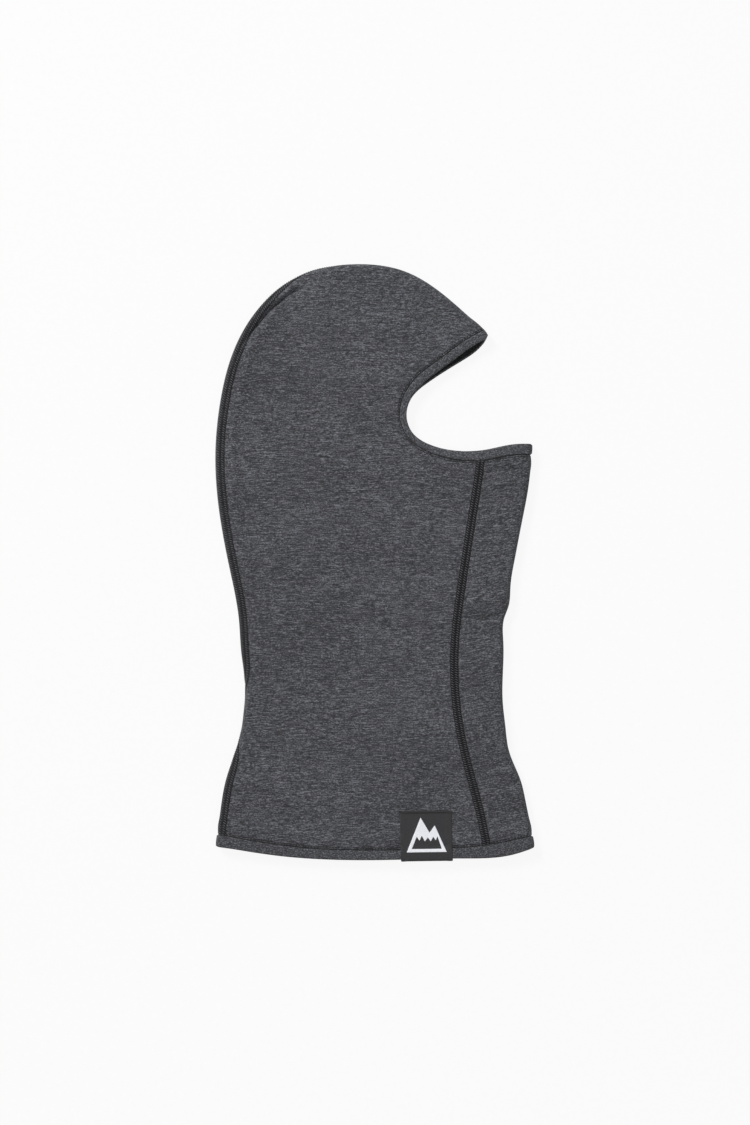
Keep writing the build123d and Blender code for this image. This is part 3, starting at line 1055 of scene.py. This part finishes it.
def zigzag(lines, gap, width, skin):
    """A row of zigzag stitches beside a line, on both halves."""
    parts = []
    for side, line in lines.items():
        along = steps_along(line)
        here = np.stack([along, along * 0 + gap - width / 2], 1)
        there = np.stack([along + BAND_PITCH / 2, along * 0 + gap + width / 2], 1)
        place = along_line(line, side)
        parts.append(threads(place, here, there, radius=0.28, skin=skin, rings=3))
        parts.append(threads(place, there[:-1], here[1:], radius=0.28, skin=skin, rings=3))
    return joined(parts)


def add_band_stitches(name, lines, out):
    """Two rows of straight stitches along a band's seam, and a zigzag row inside."""
    rows = [
        dashes(lines, 1.45 * out, length=1.7, skin=0.16),
        # Nearly unbroken and near black, this row in the seam's groove is partly the needle thread
        # and partly painted shade of the groove.
        dashes(lines, 0.05 * out, length=2.0, skin=0.42),
    ]
    sewn(name + "_stitches", rows, needle_thread, "needle_thread", name + "_stitching")
    rows = [zigzag(lines, -0.6 * out, width=3.0, skin=-CLOTH - 0.9)]
    sewn(name + "_inner_stitches", rows, needle_thread, "needle_thread", name + "_looper")


add_band_stitches("face_binding", face_seams, -1)
add_band_stitches("hem", hem_seams, 1)


# ---------------- the label

# Flat on the label, points are across and up from its corner, along axes that are turned.
LABEL_CORNER = np.array([18.8, -187.0])
LABEL_TURN = math.radians(1.5)
LABEL_AXES = np.array([
    [math.cos(LABEL_TURN / 2), math.sin(LABEL_TURN / 2)],
    [-math.sin(LABEL_TURN), math.cos(LABEL_TURN)],
])
LABEL_WIDTH = 39.0
LABEL_THICK = 0.52
# From its top edge, down over the hem, round under it and up inside: (up, skin)
LABEL_SECTION = [
    (0, 0.45), (-13, 0.46), (-25.5, 0.5), (-30, 1.12), (-35.2, 1.15), (-37.4, 0.6), (-38, -0.5),
    (-37.4, -1.7), (-35.2, -2.25), (-30, -2.2), (-26.5, -1.75), (-19.5, -1.65),
]
MARK_HEIGHT = 0.16
MARK_MIDDLE = np.array([LABEL_WIDTH / 2, -19])
label_line = resampled(curve(LABEL_SECTION, 0.1), 0.55)


def on_label(flat, skin):
    """Lays points, given across and up from the label's corner, on the right half."""
    plan = LABEL_CORNER + flat @ LABEL_AXES
    gap = nearest_on(hem_seam, plan)[0]
    filled_in = 0.8 * np.exp(-((gap / 0.5) ** 2)) + 0.4 * np.exp(-(((gap - 1.45) / 0.42) ** 2))
    return lifted(plan, 1, skin + filled_in)


def add_label_cloth():
    """The label, folded round the hem, with its sides turned in and rounded."""
    half = np.concatenate([[0, 0.12, 0.4, 0.8], np.linspace(1.4, LABEL_WIDTH / 2, 18)])
    across = np.concatenate([half, (LABEL_WIDTH - half[:-1])[::-1]])
    from_side = np.minimum(across, LABEL_WIDTH - across)
    turned_in = 0.14 * (1 - smooth_step(from_side, 3.2, 4.0))
    rounded_side = -0.34 * (1 - smooth_step(from_side, 0, 0.8))
    layers = []
    for offset in (turned_in + rounded_side, np.full(len(across), -LABEL_THICK)):
        lines = np.stack([moved(label_line, -shift) for shift in offset])
        flat = np.stack([np.repeat(across, len(label_line)), lines[..., 0].ravel()], 1)
        layers.append(on_label(flat, lines[..., 1].ravel()))
    faces = grid_faces(len(across), len(label_line))
    points, closed = thickened(layers[0], faces, layers[1])
    weave_across = np.repeat(across, len(label_line))
    weave_along = np.tile(lengths_along(label_line), len(across))
    uv = np.tile(np.stack([weave_across, weave_along], 1), (2, 1))
    label = mesh_object("label_cloth", points, closed, label_weave, uv=uv)
    return finished(label, "label_weave", "label")


def add_label_mark():
    """The mark on the label, a little proud of it, with rounded edges."""
    outline, hole = (
        resampled(np.array(loop + loop[:1], float), 0.6)[:-1] + MARK_MIDDLE
        for loop in (MOUNTAIN, BELOW_SNOW)
    )
    edges = np.vstack([outline, hole])
    x, y = np.meshgrid(np.arange(-15, 15, 0.8), np.arange(-12, 14, 0.8))
    loose = np.stack([x.ravel(), y.ravel()], 1) + MARK_MIDDLE
    loose = loose[inside(outline, loose) & ~inside(hole, loose)]
    loose = loose[distance_to(edges, loose) > 0.35]
    flat, faces = triangulated(outline, [], loose, [hole])
    outside = label_line[:np.argmin(label_line[:, 0])][::-1]
    skin = np.interp(flat[:, 1], outside[:, 0], outside[:, 1])
    height = MARK_HEIGHT * (0.35 + 0.65 * smooth_step(distance_to(edges, flat), 0, 0.5))
    points, closed = thickened(on_label(flat, skin + height), faces, on_label(flat, skin - 0.1))
    mark = mesh_object("label_mark", points, closed, label_mark, uv=np.vstack([flat, flat]))
    finished(mark, "label_mark", "label_motif")


def add_label_stitches():
    """A zigzag row along the label's top edge, and the thread's end at its corner."""
    steps = np.arange(1.0, LABEL_WIDTH - 1.0, 0.75)
    zig = np.stack([steps, -1.5 + 0.5 * (-1) ** np.arange(len(steps))], 1)
    knot = np.array([
        (-0.9, -0.2), (0.1, -0.7), (-0.5, -0.1), (0.4, -0.5), (-0.8, -0.7), (0.9, -1.2),
    ])
    parts = [
        threads(on_label, zig[:-1], zig[1:], radius=0.24, skin=0.62, rings=4),
        threads(on_label, knot[:-1], knot[1:], radius=0.36, skin=0.5, arch=0.25, rings=4),
    ]
    sewn("label_stitches", parts, label_thread, "label_thread", "label_stitching")


label = add_label_cloth()
add_label_mark()
add_label_stitches()


# ---------------- floor, light and camera

def floor_material():
    """Pale paper that glows softly, so that it is near white right up to the cloth."""
    material, tree, shader = shaded("pale_floor", 0.9, specular=0.0)
    start = put(tree, "TexCoord").outputs["Object"]
    fibres = grain(tree, start, (0.004, 0.004, 0.004), 2.0)
    colour = coloured(tree, fibres, 0.3, 0.7, (0.055, 0.055, 0.055), (0.065, 0.065, 0.065))
    tree.links.new(colour, shader.inputs["Base Color"])
    shader.inputs["Emission Color"].default_value = (1, 1, 1, 1)
    shader.inputs["Emission Strength"].default_value = 0.905
    return material


# The floor is just under the lowest stitches.
bpy.ops.mesh.primitive_plane_add(size=12, location=(0, 0, -0.0004))
floor = bpy.context.object
floor.name = "floor"
floor.data.materials.append(floor_material())

world = bpy.data.worlds.new("studio")
world.use_nodes = True
world.node_tree.nodes["Background"].inputs["Color"].default_value = (1, 1, 1, 1)
world.node_tree.nodes["Background"].inputs["Strength"].default_value = 0.3
bpy.context.scene.world = world
bpy.context.scene.view_settings.view_transform = "Standard"


def softbox(name, place, size, power):
    data = bpy.data.lights.new(name, "AREA")
    data.shape = "SQUARE"
    data.size = size
    data.energy = power
    light = bpy.data.objects.new(name, data)
    light.location = place
    light.rotation_euler = (-Vector(place)).to_track_quat("-Z", "Y").to_euler()
    bpy.context.collection.objects.link(light)


softbox("key_light", (-1.6, 1.7, 2.0), 0.9, 88)
softbox("fill_light", (1.2, -1.2, 2.8), 2.4, 22)

# The camera looks straight down from above the middle of the cloth.
lens = bpy.data.cameras.new("camera")
lens.lens = 100
lens.sensor_width = 36
lens.clip_end = 50
camera = bpy.data.objects.new("camera", lens)
camera.location = (0.00023, -0.00008, 2.358)
bpy.context.collection.objects.link(camera)
bpy.context.scene.camera = camera
